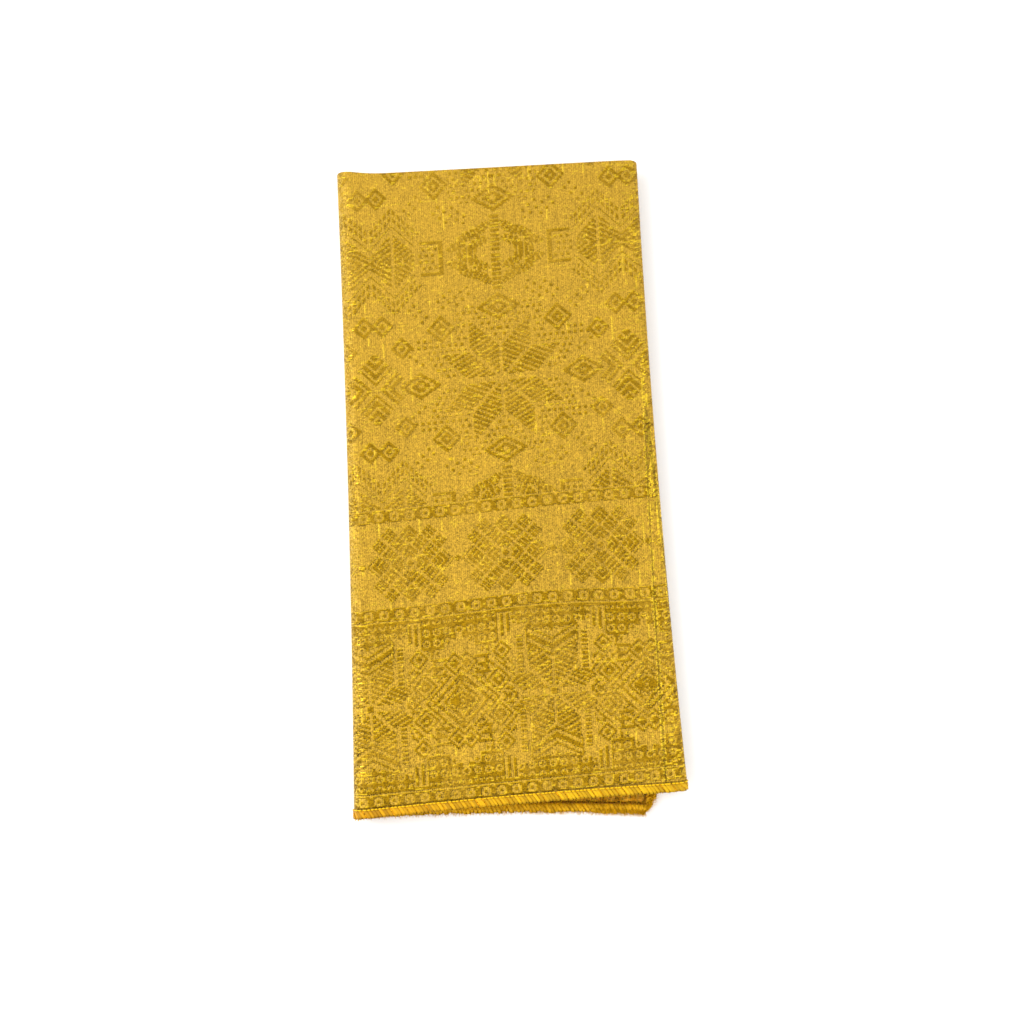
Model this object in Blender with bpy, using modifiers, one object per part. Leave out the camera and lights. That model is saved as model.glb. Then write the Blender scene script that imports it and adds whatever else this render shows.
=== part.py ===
"""A folded brocade napkin, one piece of woven cloth with an overlocked hem, lying flat.

The cloth is folded in half over its top edge with its good face outside, and that double cloth is folded
in half sideways twice. So eight layers lie over each other. The bottom panel wraps round the left side
into the top panel, and the second and third panels lie between them.

Metres, +Z up. +X runs across the folded napkin and +Y towards its top fold. The origin is under the
centre of its bounding box, on the surface that it lies on.
"""

import math
from collections import namedtuple

import bpy
from mathutils import Vector

MM = 0.001

# The cloth, and how closely its layers lie.
CLOTH_THICK = 1.0 * MM
LAYER_PITCH = 1.35 * MM
HALF_PITCH = LAYER_PITCH / 2
PANEL_PITCH = 2 * LAYER_PITCH
LOWEST_LAYER = CLOTH_THICK / 2

# The side folds are half circles in section: the outer one goes round the inner one.
OUTER_FOLD_RADIUS = 1.5 * PANEL_PITCH
INNER_FOLD_RADIUS = 0.5 * PANEL_PITCH
FOLD_TO_OUTLINE = HALF_PITCH + CLOTH_THICK / 2

# The side outlines from above: X = middle + lean * Y + bow * Y * Y, with the bow per metre.
# The napkin was folded a little off its grain, so it is wider at the hems than at the top fold.
Side = namedtuple("Side", "middle lean bow")
LEFT_SIDE = Side(-56.9 * MM, 0.0276, -0.072)
RIGHT_SIDE = Side(53.5 * MM, -0.0282, 0.118)

# The top fold is nearly straight, and pulled up into the left corner.
TOP_EDGE = 114.5 * MM
CORNER_RISE = 1.6 * MM
CORNER_REACH = 9.0 * MM

# The free corners are rounded: over this height the side hem draws in by this much.
FREE_CORNER_HIGH = 9.0 * MM
FREE_CORNER_IN = 3.4 * MM

# How finely the flat cloth is divided before it is folded.
PANEL_CELLS = 8
OUTER_FOLD_CELLS = 10
INNER_FOLD_CELLS = 6
LENGTH_CELLS = 12
TOP_FOLD_CELLS = 6
HEM_ROWS = (0.0, 3.0 * MM, 9.0 * MM)

# The sideways path of the double cloth, in order from the free edge of the bottom panel. start and end
# are shares of the napkin's width, level counts panels upwards and top is how far the fold at the top
# stops short of the highest one. The hems are the Y of the front and of the back layer's hem at the
# left side, the middle and the right side.
Panel = namedtuple(
    "Panel",
    "name level start end top front_left front_middle front_right back_left back_middle back_right",
)
PANELS = (
    Panel("bottom", 0, 0.92, 0.00, 0.5, -113.8, -114.2, -117.4, -113.5, -114.4, -118.6),
    Panel("top", 3, 0.00, 1.00, 0.0, -113.5, -111.1, -109.6, -113.2, -110.7, -109.1),
    Panel("second", 2, 1.00, 0.00, 0.7, -108.6, -109.2, -109.6, -108.3, -108.7, -109.1),
    Panel("third", 1, 0.00, 0.95, 1.1, -108.6, -108.0, -108.9, -108.3, -107.6, -108.3),
)

# Places where the stack lies flatter, from above. depth is the share of its height that it loses there.
Dip = namedtuple("Dip", "name x y reach_x reach_y depth")
DIPS = (
    Dip("lower_right", 14, -75, 27, 22, 0.11),
    Dip("lower_left", -45, -62, 13, 26, 0.08),
    Dip("middle_left", -38, -12, 18, 20, 0.05),
    Dip("upper_middle", 2, 88, 34, 22, 0.05),
    Dip("hem_middle", -8, -108, 32, 12, 0.05),
)

# One column of the folded cloth: where it stands across the width and in height, which way the front
# layer faces, and where its hems and its top fold are.
Column = namedtuple("Column", "share offset height face_x face_z front_hem back_hem top free")


def between(low, high, share):
    return low + (high - low) * share


def through_three(left, middle, right, share):
    """A smooth curve through three heights, at shares 0, 1/2 and 1 of the width."""
    bend = 2 * (left + right - 2 * middle)
    return left + (right - left - bend) * share + bend * share * share


def side_x(side, y):
    return side.middle + side.lean * y + side.bow * y * y


def left_axis(y):
    """The X of the axis that both left folds go round."""
    return side_x(LEFT_SIDE, y) + OUTER_FOLD_RADIUS + FOLD_TO_OUTLINE


def right_axis(y):
    """The X of the axis that the right fold goes round."""
    return side_x(RIGHT_SIDE, y) - INNER_FOLD_RADIUS - FOLD_TO_OUTLINE


def panel_column(panel, way):
    """A column of a flat panel, at a share of the way from its start to its end."""
    share = between(panel.start, panel.end, way)
    front = through_three(panel.front_left, panel.front_middle, panel.front_right, share)
    back = through_three(panel.back_left, panel.back_middle, panel.back_right, share)
    return Column(
        share=share,
        offset=0.0,
        height=LOWEST_LAYER + HALF_PITCH + panel.level * PANEL_PITCH,
        face_x=0.0,
        face_z=1.0 if panel.end > panel.start else -1.0,
        front_hem=front * MM,
        back_hem=back * MM,
        top=panel.top * MM,
        free=0.0,
    )


def panel_columns(panel):
    return [panel_column(panel, cell / PANEL_CELLS) for cell in range(PANEL_CELLS + 1)]


def fold_columns(before, after, radius, cells):
    """The columns of a side fold, between the last one before it and the first one after it."""
    outward = -1.0 if before.share < 0.5 else 1.0
    climb = 1.0 if after.height > before.height else -1.0
    columns = []
    for cell in range(1, cells):
        way = cell / cells
        angle = math.pi * way
        columns.append(
            Column(
                share=before.share,
                offset=outward * radius * math.sin(angle),
                height=between(before.height, after.height, (1 - math.cos(angle)) / 2),
                face_x=-outward * climb * before.face_z * math.sin(angle),
                face_z=before.face_z * math.cos(angle),
                front_hem=between(before.front_hem, after.front_hem, way),
                back_hem=between(before.back_hem, after.back_hem, way),
                top=between(before.top, after.top, way),
                free=0.0,
            )
        )
    return columns


def section_columns():
    """Every column of the folded cloth, in order from one free edge to the other."""
    bottom, top, second, third = (panel_columns(panel) for panel in PANELS)
    bottom[0] = bottom[0]._replace(free=1.0)
    third[-1] = third[-1]._replace(free=1.0)
    outer_fold = fold_columns(bottom[-1], top[0], OUTER_FOLD_RADIUS, OUTER_FOLD_CELLS)
    right_fold = fold_columns(top[-1], second[0], INNER_FOLD_RADIUS, INNER_FOLD_CELLS)
    inner_fold = fold_columns(second[-1], third[0], INNER_FOLD_RADIUS, INNER_FOLD_CELLS)
    return bottom + outer_fold + top + right_fold + second + inner_fold + third


def length_rows():
    """The rows of one layer, as (distance above its hem, share of the rest of the way to the fold)."""
    near_hem = [(height, 0.0) for height in HEM_ROWS]
    beyond = [(HEM_ROWS[-1], cell / LENGTH_CELLS) for cell in range(1, LENGTH_CELLS + 1)]
    return near_hem + beyond


def cloth_rows():
    """Every row of the cloth as (layer, height, share): layer 1 is the front, -1 the back, 0 the fold."""
    front = [(1, height, share) for height, share in length_rows()]
    fold = [(0, 0.0, cell / TOP_FOLD_CELLS) for cell in range(1, TOP_FOLD_CELLS)]
    back = [(-1, height, share) for height, share in reversed(length_rows())]
    return front + fold + back


def top_fold_y(x):
    """The Y of the top edge's outline, which rises a little into the left corner."""
    from_corner = (x - LEFT_SIDE.middle) / CORNER_REACH
    return TOP_EDGE + CORNER_RISE * math.exp(-from_corner * from_corner)


def flatness(x, y):
    """How much of its full height the stack keeps at a place."""
    lost = 0.0
    for dip in DIPS:
        across = (x / MM - dip.x) / dip.reach_x
        along = (y / MM - dip.y) / dip.reach_y
        lost += dip.depth * math.exp(-across * across - along * along)
    return 1 - lost


def drawn_in(column, above_hem):
    """How far the free edge draws in at its rounded corner."""
    missing = max(0.0, 1 - above_hem / FREE_CORNER_HIGH)
    return column.free * FREE_CORNER_IN * missing * missing


def folded_place(column, row):
    """Where a point of the cloth lies once it is folded."""
    layer, above_hem, share = row
    middle_x = between(left_axis(0.0), right_axis(0.0), column.share) + column.offset
    fold_axis_y = top_fold_y(middle_x) - column.top - FOLD_TO_OUTLINE
    pull = 0.0
    if layer:
        hem = column.front_hem if layer > 0 else column.back_hem
        y = between(hem + above_hem, fold_axis_y, share)
        lift = layer * HALF_PITCH
        pull = drawn_in(column, y - hem)
    else:
        y = fold_axis_y + HALF_PITCH * math.sin(math.pi * share)
        lift = HALF_PITCH * math.cos(math.pi * share)
    x = between(left_axis(y), right_axis(y), column.share) + column.offset - pull
    x += lift * column.face_x
    height = column.height + lift * column.face_z
    z = LOWEST_LAYER + (height - LOWEST_LAYER) * flatness(x, y)
    return Vector((x, y, z))


def flat_cloth(columns, rows):
    """The flat cloth, as a grid with a line for each column and each row."""
    bpy.ops.mesh.primitive_grid_add(x_subdivisions=columns - 1, y_subdivisions=rows - 1, size=2)
    cloth = bpy.context.active_object
    cloth.name = "napkin"
    cloth.data.name = "napkin"
    return cloth


def fold(cloth, columns, rows):
    """Moves each point of the flat grid to its place in the folded napkin."""
    for point in cloth.data.vertices:
        column = round((point.co.x + 1) / 2 * (len(columns) - 1))
        row = round((point.co.y + 1) / 2 * (len(rows) - 1))
        point.co = folded_place(columns[column], rows[row])


def thicken(cloth):
    """Gives the folded sheet its thickness, half of it to each side."""
    wall = cloth.modifiers.new("cloth_thickness", "SOLIDIFY")
    wall.thickness = CLOTH_THICK
    wall.offset = 0.0
    wall.use_even_offset = True
    wall.use_rim = True


def centre(cloth):
    """Moves the napkin so that the origin is under the centre of its bounding box."""
    bpy.context.view_layer.update()
    folded = cloth.evaluated_get(bpy.context.evaluated_depsgraph_get())
    corners = [Vector(corner) for corner in folded.bound_box]
    across = [corner.x for corner in corners]
    along = [corner.y for corner in corners]
    shift = Vector(((min(across) + max(across)) / -2, (min(along) + max(along)) / -2, 0.0))
    for point in cloth.data.vertices:
        point.co += shift


def brocade():
    """Mustard gold brocade with a faint metallic thread."""
    material = bpy.data.materials.new("gold_brocade")
    material.use_nodes = True
    shader = material.node_tree.nodes["Principled BSDF"]
    shader.inputs["Base Color"].default_value = (0.62, 0.37, 0.035, 1.0)
    shader.inputs["Roughness"].default_value = 0.55
    shader.inputs["Metallic"].default_value = 0.1
    return material


def clear_scene():
    for thing in list(bpy.data.objects):
        bpy.data.objects.remove(thing, do_unlink=True)


def main():
    clear_scene()
    home = bpy.data.collections.new("folded_napkin")
    bpy.context.scene.collection.children.link(home)
    columns = section_columns()
    rows = cloth_rows()
    cloth = flat_cloth(len(columns), len(rows))
    for collection in list(cloth.users_collection):
        collection.objects.unlink(cloth)
    home.objects.link(cloth)
    fold(cloth, columns, rows)
    thicken(cloth)
    centre(cloth)
    cloth.data.shade_smooth()
    cloth.data.materials.append(brocade())


main()
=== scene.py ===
# %% [markdown]
# # A folded brocade napkin
#
# This lesson dresses a folded dinner napkin for a studio picture. The napkin is one cloth of gold brocade.
# It was folded in half over its top edge, and that double cloth was folded in half sideways twice. So eight
# layers lie over each other, and only one of them shows well from above.
#
# We start from a packed model that already has the right size and the right folds. It stays where it is, and
# every new piece is made to fit it.

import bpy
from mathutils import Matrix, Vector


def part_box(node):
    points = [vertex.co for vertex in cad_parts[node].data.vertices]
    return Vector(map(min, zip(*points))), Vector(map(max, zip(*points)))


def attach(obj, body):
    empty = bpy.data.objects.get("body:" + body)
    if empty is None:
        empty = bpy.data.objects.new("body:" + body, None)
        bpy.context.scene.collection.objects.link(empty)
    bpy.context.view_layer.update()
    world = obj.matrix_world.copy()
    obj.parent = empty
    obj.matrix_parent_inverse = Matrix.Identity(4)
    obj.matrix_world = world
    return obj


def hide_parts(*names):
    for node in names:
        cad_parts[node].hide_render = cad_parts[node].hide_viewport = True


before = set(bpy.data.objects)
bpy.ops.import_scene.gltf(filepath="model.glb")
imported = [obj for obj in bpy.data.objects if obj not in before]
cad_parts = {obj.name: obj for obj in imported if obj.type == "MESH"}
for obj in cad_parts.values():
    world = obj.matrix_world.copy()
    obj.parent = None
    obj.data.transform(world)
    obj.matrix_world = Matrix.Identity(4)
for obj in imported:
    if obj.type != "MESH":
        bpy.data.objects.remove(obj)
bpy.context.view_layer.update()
print("nodes:", sorted(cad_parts))

# %% Tools and units
import math
from collections import namedtuple

import bpy
import numpy as np
from mathutils import Vector

MM = 0.001
node_low, node_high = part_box("napkin")
print("folded size in mm:", [round(side / MM, 1) for side in node_high - node_low])

# %% [markdown]
# ## How the cloth is folded
#
# A fold is easiest to write as a rule: it takes a place on the flat cloth and says where that place lies
# afterwards. We call the distance from one free side hem `across`, and the distance from the front hem
# `along`. Seen from the hems, the double cloth starts at the bottom right, wraps round the left side, runs
# over the top to the right, turns back, and turns once more inside the wrap.
#
# The same rule later folds the sewing thread, so the stitches follow the cloth exactly.

# %% Sizes of the folded napkin
LAYER_PITCH = 1.35 * MM
HALF_PITCH = LAYER_PITCH / 2
PANEL_PITCH = 2 * LAYER_PITCH
SOLID_THICK = 1.0 * MM
LOWEST_LAYER = SOLID_THICK / 2
OUTER_FOLD_RADIUS = 1.5 * PANEL_PITCH
INNER_FOLD_RADIUS = 0.5 * PANEL_PITCH
FOLD_TO_OUTLINE = HALF_PITCH + SOLID_THICK / 2

# The side outlines from above: X = middle + lean * Y + bow * Y * Y.
Side = namedtuple("Side", "middle lean bow")
LEFT_SIDE = Side(-57.2 * MM, 0.0276, -0.072)
RIGHT_SIDE = Side(53.8 * MM, -0.0282, 0.118)
TOP_EDGE = 114.5 * MM
CORNER_RISE = 1.6 * MM
CORNER_REACH = 9.0 * MM
FREE_CORNER_HIGH = 9.0 * MM
FREE_CORNER_IN = 5.0 * MM
HEM_BELOW_MIDDLE = 111.0 * MM

# start and end are shares of the width, level counts the panels upwards, and top is how far a panel's fold
# stays short of the highest one. The hems are the Y of the front and of the back layer, in millimetres.
Panel = namedtuple(
    "Panel",
    "name level start end top front_left front_middle front_right back_left back_middle back_right",
)
PANELS = (
    Panel("bottom", 0, 0.92, 0.00, 0.5, -114.3, -115.0, -118.0, -114.0, -115.3, -119.3),
    Panel("top", 3, 0.00, 1.00, 0.0, -114.0, -111.6, -110.4, -113.5, -111.0, -109.7),
    Panel("second", 2, 1.00, 0.00, 0.7, -108.6, -109.2, -109.6, -108.3, -108.7, -109.1),
    Panel("third", 1, 0.00, 0.95, 1.1, -108.6, -108.0, -108.9, -108.3, -107.6, -108.3),
)

# Places where the stack lies flatter. depth is the share of its height that it loses there.
Dip = namedtuple("Dip", "name x y reach_x reach_y depth")
DIPS = (
    Dip("lower_right", 14, -75, 27, 22, 0.11),
    Dip("lower_left", -45, -62, 13, 26, 0.08),
    Dip("middle_left", -38, -12, 18, 20, 0.05),
    Dip("upper_middle", 2, 88, 34, 22, 0.05),
    Dip("hem_middle", -8, -108, 32, 12, 0.05),
)
print("panels:", [panel.name for panel in PANELS])


# %% The sides and the hems
def side_x(side, y):
    return side.middle + side.lean * y + side.bow * y * y


def left_axis(y):
    """The X of the axis that both left folds go round."""
    return side_x(LEFT_SIDE, y) + OUTER_FOLD_RADIUS + FOLD_TO_OUTLINE


def right_axis(y):
    """The X of the axis that the right fold goes round."""
    return side_x(RIGHT_SIDE, y) - INNER_FOLD_RADIUS - FOLD_TO_OUTLINE


def through_three(left, middle, right, share):
    """A smooth curve through three heights, at shares 0, 1/2 and 1 of the width."""
    bend = 2 * (left + right - 2 * middle)
    return left + (right - left - bend) * share + bend * share * share


PANEL_WIDE = right_axis(0.0) - left_axis(0.0)
print("a panel is", round(PANEL_WIDE / MM, 1), "mm wide at its middle")

# %% The section of the double cloth, in short steps
STEP = 0.25 * MM
# face_x and face_z say which way the front layer faces.
FIELDS = "across share offset height face_x face_z front_hem back_hem top level"
Section = namedtuple("Section", FIELDS)


def panel_steps(panel, begins):
    """One flat panel, as an array for each field."""
    long = abs(panel.end - panel.start) * PANEL_WIDE
    way = np.linspace(0.0, 1.0, round(long / STEP) + 1)
    share = panel.start + (panel.end - panel.start) * way
    flat = np.ones_like(way)
    front = through_three(panel.front_left, panel.front_middle, panel.front_right, share)
    back = through_three(panel.back_left, panel.back_middle, panel.back_right, share)
    height = LOWEST_LAYER + HALF_PITCH + panel.level * PANEL_PITCH
    facing = 1.0 if panel.end > panel.start else -1.0
    return Section(
        begins + way * long, share, 0 * flat, height * flat, 0 * flat, facing * flat,
        front * MM, back * MM, panel.top * MM * flat, panel.level * flat,
    )


def fold_steps(before, after, radius):
    """A side fold between two panels: half a turn round its axis."""
    long = math.pi * radius
    way = np.linspace(0.0, 1.0, round(long / STEP) + 1)[1:-1]
    turn = math.pi * way
    outward = -1.0 if before.share[-1] < 0.5 else 1.0
    climb = 1.0 if after.height[0] > before.height[-1] else -1.0
    facing = before.face_z[-1]
    blended = (last[-1] + (first[0] - last[-1]) * way for last, first in zip(before, after))
    rise = after.height[0] - before.height[-1]
    return Section(*blended)._replace(
        across=before.across[-1] + way * long,
        offset=outward * radius * np.sin(turn),
        height=before.height[-1] + rise * (1 - np.cos(turn)) / 2,
        face_x=-outward * climb * facing * np.sin(turn),
        face_z=facing * np.cos(turn),
    )


FOLD_RADII = (OUTER_FOLD_RADIUS, INNER_FOLD_RADIUS, INNER_FOLD_RADIUS)
stretches = [panel_steps(PANELS[0], 0.0)]
for panel, radius in zip(PANELS[1:], FOLD_RADII):
    begins = stretches[-1].across[-1] + math.pi * radius
    after = panel_steps(panel, begins)
    stretches.append(fold_steps(stretches[-1], after, radius))
    stretches.append(after)
section = Section(*(np.concatenate(parts) for parts in zip(*stretches)))
ACROSS_WHOLE = section.across[-1]
LAYER_LONG = TOP_EDGE - FOLD_TO_OUTLINE + HEM_BELOW_MIDDLE
TOP_FOLD_LONG = math.pi * HALF_PITCH
UNDERSIDE_WIDE = PANELS[0].start * PANEL_WIDE
ALONG_WHOLE = 2 * LAYER_LONG + TOP_FOLD_LONG
print("flat cloth in mm:", round(ACROSS_WHOLE / MM), "x", round(ALONG_WHOLE / MM))

# %% The top edge and the dips
RIPPLE_DEEP = 0.022
RIPPLE_REACH = 11 * MM
RIPPLE_WAVE = 15 * MM
HEM_LINE_Y = -111.5 * MM
DROOP = 1.3 * MM
DROOP_REACH = 9 * MM
FREE_EDGE_REACH = 5 * MM


def top_fold_y(x):
    """The Y of the top edge's outline, which rises a little into the left corner."""
    from_corner = (x - LEFT_SIDE.middle) / CORNER_REACH
    return TOP_EDGE + CORNER_RISE * np.exp(-from_corner * from_corner)


def flatness(x, y):
    """How much of its full height the stack keeps at a place: soft dips, and a ripple along the hems."""
    lost = np.zeros_like(x)
    for dip in DIPS:
        there = ((x / MM - dip.x) / dip.reach_x) ** 2 + ((y / MM - dip.y) / dip.reach_y) ** 2
        lost += dip.depth * np.exp(-there)
    near_hem = np.exp(-np.clip(y - HEM_LINE_Y, 0, None) / RIPPLE_REACH)
    wave = np.sin(2 * math.pi * x / RIPPLE_WAVE) + 0.6 * np.sin(2 * math.pi * x / (0.57 * RIPPLE_WAVE) + 1.3)
    return 1 - lost + RIPPLE_DEEP * near_hem * (wave - 0.8)


middle_x, middle_y = np.zeros(1), np.zeros(1)
print("share of its height that the stack keeps at its middle:", flatness(middle_x, middle_y).round(3))


# %% The rule that folds any place on the flat cloth
def section_at(across):
    """Every field of the section, at some distances across."""
    return Section(*(np.interp(across, section.across, field) for field in section))


def layer_at(at, along):
    """Whether a place is in the front layer, its hem's Y, and how far round the top fold it is."""
    is_front = along < LAYER_LONG + TOP_FOLD_LONG / 2
    hem = np.where(is_front, at.front_hem, at.back_hem)
    turn = np.clip((along - LAYER_LONG) / TOP_FOLD_LONG, 0, 1) * math.pi
    return is_front, hem, turn


def folded(across, along, lift):
    """Where places on the flat cloth lie once it is folded. lift is the height over the cloth's middle."""
    across, along, lift = np.broadcast_arrays(*(np.asarray(part, float) for part in (across, along, lift)))
    at = section_at(across)
    beyond = np.clip(-across, 0, None) + np.clip(across - ACROSS_WHOLE, 0, None)
    is_front, hem, turn = layer_at(at, along)
    from_hem = np.where(is_front, along, ALONG_WHOLE - along)
    middle_x = left_axis(0.0) + PANEL_WIDE * at.share + at.offset
    fold_axis_y = top_fold_y(middle_x) - at.top - FOLD_TO_OUTLINE
    spread = np.clip(from_hem / LAYER_LONG, 0, 1) ** 2
    straight = hem + from_hem + (fold_axis_y - hem - LAYER_LONG) * spread
    y = np.where(from_hem < LAYER_LONG, straight, fold_axis_y) + (HALF_PITCH + lift) * np.sin(turn)
    side_step = (HALF_PITCH + lift) * np.cos(turn)
    from_edge = np.minimum(across, ACROSS_WHOLE - across)
    at_free_edge = np.exp(-np.clip(from_edge, 0, None) / FREE_EDGE_REACH)
    missing = np.clip(1 - from_hem / FREE_CORNER_HIGH, 0, 1)
    pull = FREE_CORNER_IN * missing * missing * at_free_edge
    x = left_axis(y) + (right_axis(y) - left_axis(y)) * at.share + at.offset + beyond - pull
    x = x + side_step * at.face_x
    height = at.height + side_step * at.face_z
    z = LOWEST_LAYER + (height - LOWEST_LAYER) * flatness(x, y)
    overhang = np.clip(1 - (right_axis(y) + INNER_FOLD_RADIUS - x) / DROOP_REACH, 0, 1) ** 2
    z = z - DROOP * overhang * (at.level > 1.5)
    return np.stack([x, y, z], axis=-1)


print("the first corner of the cloth lies at, in mm:", np.round(folded(0, 0, 0) / MM, 1))

# %% Line the rule up with the packed model
PROBES = (900, 240)
probe_across, probe_along = np.meshgrid(
    np.linspace(0, ACROSS_WHOLE, PROBES[0]), np.linspace(0, ALONG_WHOLE, PROBES[1])
)
faces = (-SOLID_THICK / 2, SOLID_THICK / 2)
probes = [folded(probe_across, probe_along, lift).reshape(-1, 3) for lift in faces]
probe_low = np.min(np.concatenate(probes), axis=0)
probe_high = np.max(np.concatenate(probes), axis=0)
shift = (np.array(node_low + node_high) - probe_low - probe_high) / 2
shift[2] = 0.0
print("shift onto the packed model in mm:", np.round(shift / MM, 2))


def place(across, along, lift):
    """The folded place of each point, in the packed model's own frame."""
    return folded(across, along, lift) + shift


# %% [markdown]
# ## The studio
#
# The picture looks straight down on a napkin that lies on a white table, turned a few degrees. The camera is
# high up with a long lens, so near and far look nearly the same size. The light is soft: a bright sky all
# round, a strong lamp at the left that catches the thick fold, and a weaker one at the right.

# %% Camera
FRAME_WIDE = 362.9 * MM
CAMERA_HIGH = 900 * MM
SENSOR = 36.0
TURN = math.radians(-3.1)
LOOK_AT = Vector((0.97 * MM, -8.2 * MM, 0)) + Vector(shift)
camera = bpy.data.objects.new("camera", bpy.data.cameras.new("camera"))
bpy.context.scene.collection.objects.link(camera)
bpy.context.scene.camera = camera
camera.data.sensor_width = SENSOR
camera.data.lens = SENSOR * CAMERA_HIGH / FRAME_WIDE
camera.location = (LOOK_AT.x, LOOK_AT.y, node_high.z + CAMERA_HIGH)
camera.rotation_euler = (0, 0, TURN)
print("lens in mm:", round(camera.data.lens, 1))


# %% Table and light
def pick(*pieces):
    """Selects these pieces and nothing else, and makes the first one active."""
    bpy.ops.object.select_all(action="DESELECT")
    for piece in pieces:
        piece.select_set(True)
    if pieces:
        bpy.context.view_layer.objects.active = pieces[0]


bpy.context.scene.view_settings.view_transform = "Standard"
pick()
bpy.ops.mesh.primitive_plane_add(size=6, location=(0, 0, 0))
floor = bpy.context.active_object
floor.name = "table_top"
paper = bpy.data.materials.new("white_table")
paper.use_nodes = True
paper_shader = paper.node_tree.nodes["Principled BSDF"]
paper_shader.inputs["Base Color"].default_value = (0.98, 0.98, 0.98, 1)
paper_shader.inputs["Roughness"].default_value = 0.8
floor.data.materials.append(paper)

world = bpy.data.worlds.new("soft_sky")
bpy.context.scene.world = world
world.use_nodes = True
sky = world.node_tree.nodes["Background"]
sky.inputs["Color"].default_value = (1, 1, 1, 1)
sky.inputs["Strength"].default_value = 1.0


def lamp(name, place_at, size, power):
    """A square soft box that looks at the napkin."""
    light = bpy.data.lights.new(name, "AREA")
    light.size = size
    light.energy = power
    holder = bpy.data.objects.new(name, light)
    bpy.context.scene.collection.objects.link(holder)
    holder.location = place_at
    holder.rotation_euler = (-Vector(place_at)).to_track_quat("-Z", "Y").to_euler()


lamp("left_soft_box", (-0.95, 0.45, 0.95), 0.8, 16)
lamp("right_soft_box", (1.0, -0.5, 0.9), 1.0, 7)

# %% [markdown]
# ## The cloth
#
# The cloth starts as a flat grid with a line of squares for each place that needs one: wide squares in the
# hidden layers, narrow ones on the top panel and in the folds. Each point is then moved by the folding rule.
# A Solidify modifier gives the sheet its thickness.
#
# Two UV maps travel with it. `weave` says how far a point is from the middle of the top panel and from the
# hem, measured over the real cloth, so that the pattern stays straight though the folds lean. `edges` holds
# the distances to the nearest hem and to the nearest side hem.

# %% Where the grid lines run
CLOTH_THICK = 0.7 * MM
# How many squares wide each panel and each side fold is, in order across the flat cloth.
STRETCH_CELLS = (22, 18, 76, 10, 16, 10, 18)
HEM_LINES = (0, 1.0, 2.1, 3.2, 4.6, 6.4, 8.6, 11.2)
FRONT_CELLS = 92
TOP_FOLD_CELLS = 10
BACK_CELLS = 36


def stretch_ends():
    """The distances across at which each panel and each side fold ends."""
    ends = [UNDERSIDE_WIDE]
    for radius, panel in zip(FOLD_RADII, PANELS[1:]):
        ends.append(ends[-1] + math.pi * radius)
        ends.append(ends[-1] + abs(panel.end - panel.start) * PANEL_WIDE)
    return ends


def across_lines():
    """The distances across the flat cloth at which the grid has a line."""
    lines = [0.0]
    for end, count in zip(STRETCH_ENDS, STRETCH_CELLS):
        lines.extend(np.linspace(lines[-1], end, count + 1)[1:])
    return np.array(lines)


def along_lines():
    """The distances along the flat cloth at which the grid has a line."""
    near = [line * MM for line in HEM_LINES]
    front = near + list(np.linspace(near[-1], LAYER_LONG, FRONT_CELLS + 1)[1:])
    fold = list(LAYER_LONG + np.linspace(0, TOP_FOLD_LONG, TOP_FOLD_CELLS + 1)[1:-1])
    back = near + list(np.linspace(near[-1], LAYER_LONG, BACK_CELLS + 1)[1:])
    return np.array(front + fold + [ALONG_WHOLE - line for line in reversed(back)])


STRETCH_ENDS = stretch_ends()
columns = across_lines()
rows = along_lines()
print("grid:", len(columns), "x", len(rows), "lines")


# %% Add the flat grid and fold it
def points_of(mesh):
    """The places of a mesh's points, one row for each point."""
    flat = np.empty(len(mesh.vertices) * 3)
    mesh.vertices.foreach_get("co", flat)
    return flat.reshape(-1, 3)


def grid_indices(mesh, wide, high):
    """The column and the row of each point of a grid that was added 2 units wide."""
    share = (points_of(mesh)[:, :2] + 1) / 2
    return np.rint(share * (wide - 1, high - 1)).astype(int).T


pick()
bpy.ops.mesh.primitive_grid_add(x_subdivisions=len(columns) - 1, y_subdivisions=len(rows) - 1, size=2)
cloth = bpy.context.active_object
cloth.name = "napkin_cloth"
column_of, row_of = grid_indices(cloth.data, len(columns), len(rows))
point_across = columns[column_of]
point_along = rows[row_of]
folded_points = place(point_across, point_along, 0.0)
cloth.data.vertices.foreach_set("co", folded_points.ravel())
cloth.data.update()
print("points:", len(cloth.data.vertices))

# %% Measure the real cloth for the weave's UV map
PATTERN_LEAN = 0.0424
PATTERN_HEM = -113.3 * MM


def weave_place(across, along):
    """How far a point is from the top panel's middle and from the hem, over the real cloth."""
    at = section_at(across)
    y = folded(across, along, 0.0)[..., 1]
    left, right = left_axis(y), right_axis(y)
    wide = right - left
    outer, inner = math.pi * OUTER_FOLD_RADIUS, math.pi * INNER_FOLD_RADIUS
    real = [
        left - outer - wide * at.share,
        left - outer + (across - STRETCH_ENDS[0]),
        left + wide * at.share,
        right + (across - STRETCH_ENDS[2]),
        right + inner + wide * (1 - at.share),
        right + inner + wide + (across - STRETCH_ENDS[4]),
        right + 2 * inner + wide * (1 + at.share),
    ]
    stretch = np.clip(np.searchsorted(STRETCH_ENDS, across, side="left"), 0, len(real) - 1)
    over = np.choose(stretch, real)
    is_front, hem, turn = layer_at(at, along)
    on_top = PATTERN_HEM + PATTERN_LEAN * (over - LEFT_SIDE.middle)
    top_left = PATTERN_HEM - PANELS[1].front_left * MM
    lean_whole = PATTERN_LEAN * (RIGHT_SIDE.middle - LEFT_SIDE.middle)
    top_right = PATTERN_HEM + lean_whole - PANELS[1].front_right * MM
    line = np.choose(stretch, [hem + top_left, hem + top_left, on_top] + [hem + top_right] * 4)
    past = np.where(is_front, turn, math.pi - turn) * HALF_PITCH
    fold_axis_y = y - HALF_PITCH * np.sin(turn)
    up = np.where((turn > 0) & (turn < math.pi), fold_axis_y - line + past, y - line)
    return over, up


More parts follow.
